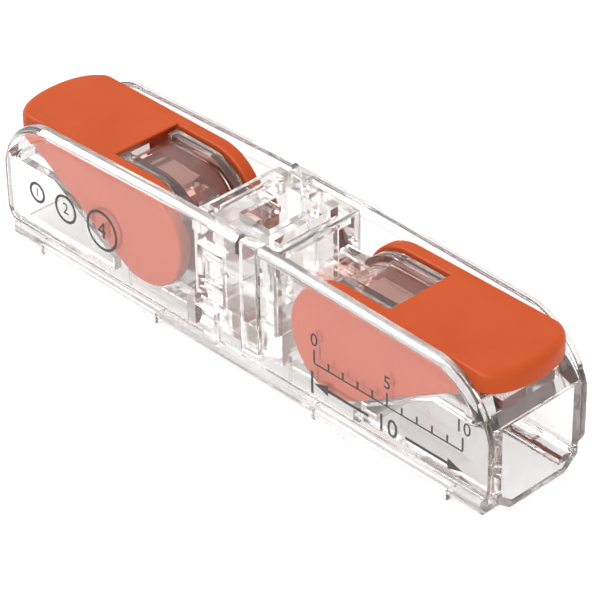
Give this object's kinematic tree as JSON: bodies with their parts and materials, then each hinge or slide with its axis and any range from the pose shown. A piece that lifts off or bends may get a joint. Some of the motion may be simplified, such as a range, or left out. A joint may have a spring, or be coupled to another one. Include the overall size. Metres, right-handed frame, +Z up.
{
  "type": "lever wire connector",
  "caption": "Clear inline wire splice with a wire mouth at each end and orange flip levers that open spring clamps over a shared busbar.",
  "frame": {"origin": "under the middle of the connector, on the surface that its feet ribs stand on", "axes": "+X along the connector from one wire mouth to the other, +Y across it, +Z up with the levers on top"},
  "size_m": [0.0356, 0.0072, 0.0084],
  "materials": {
    "clear_plastic": "clear moulded polycarbonate, glossy, with rounded edges",
    "orange_plastic": "orange moulded polyamide, fine satin texture",
    "spring_steel": "rolled stainless spring strip",
    "tinned_copper": "tin-plated copper strip, satin"
  },
  "bodies": {
    "housing": {"housing_shell": "clear_plastic", "base_cover": "clear_plastic", "centre_carrier": "clear_plastic", "busbar": "tinned_copper", "left_clamp_spring": "spring_steel", "right_clamp_spring": "spring_steel"},
    "right_lever": {"right_lever": "orange_plastic"},
    "left_lever": {"left_lever": "orange_plastic"},
    "right_tongue": {"right_clamp_tongue": "spring_steel"},
    "left_tongue": {"left_clamp_tongue": "spring_steel"}
  },
  "joints": [
    {"name": "right_lever_flip", "type": "hinge", "parent": "housing", "child": "right_lever", "pos_m": [0.00705, 0, 0.00495], "axis": [0, -1, 0], "range_deg": [0, 88]},
    {"name": "left_lever_flip", "type": "hinge", "parent": "housing", "child": "left_lever", "pos_m": [-0.00705, 0, 0.00495], "axis": [0, 1, 0], "range_deg": [0, 88]},
    {"name": "right_tongue_lift", "type": "hinge", "parent": "housing", "child": "right_tongue", "pos_m": [0.0095, 0, 0.00565], "axis": [0, 1, 0], "range_deg": [0, 26]},
    {"name": "left_tongue_lift", "type": "hinge", "parent": "housing", "child": "left_tongue", "pos_m": [-0.0095, 0, 0.00565], "axis": [0, -1, 0], "range_deg": [0, 26]}
  ],
  "couplings": [
    {"joint": "right_tongue_lift", "follows": "right_lever_flip", "ratio": 0.2954},
    {"joint": "left_tongue_lift", "follows": "left_lever_flip", "ratio": 0.2954}
  ]
}
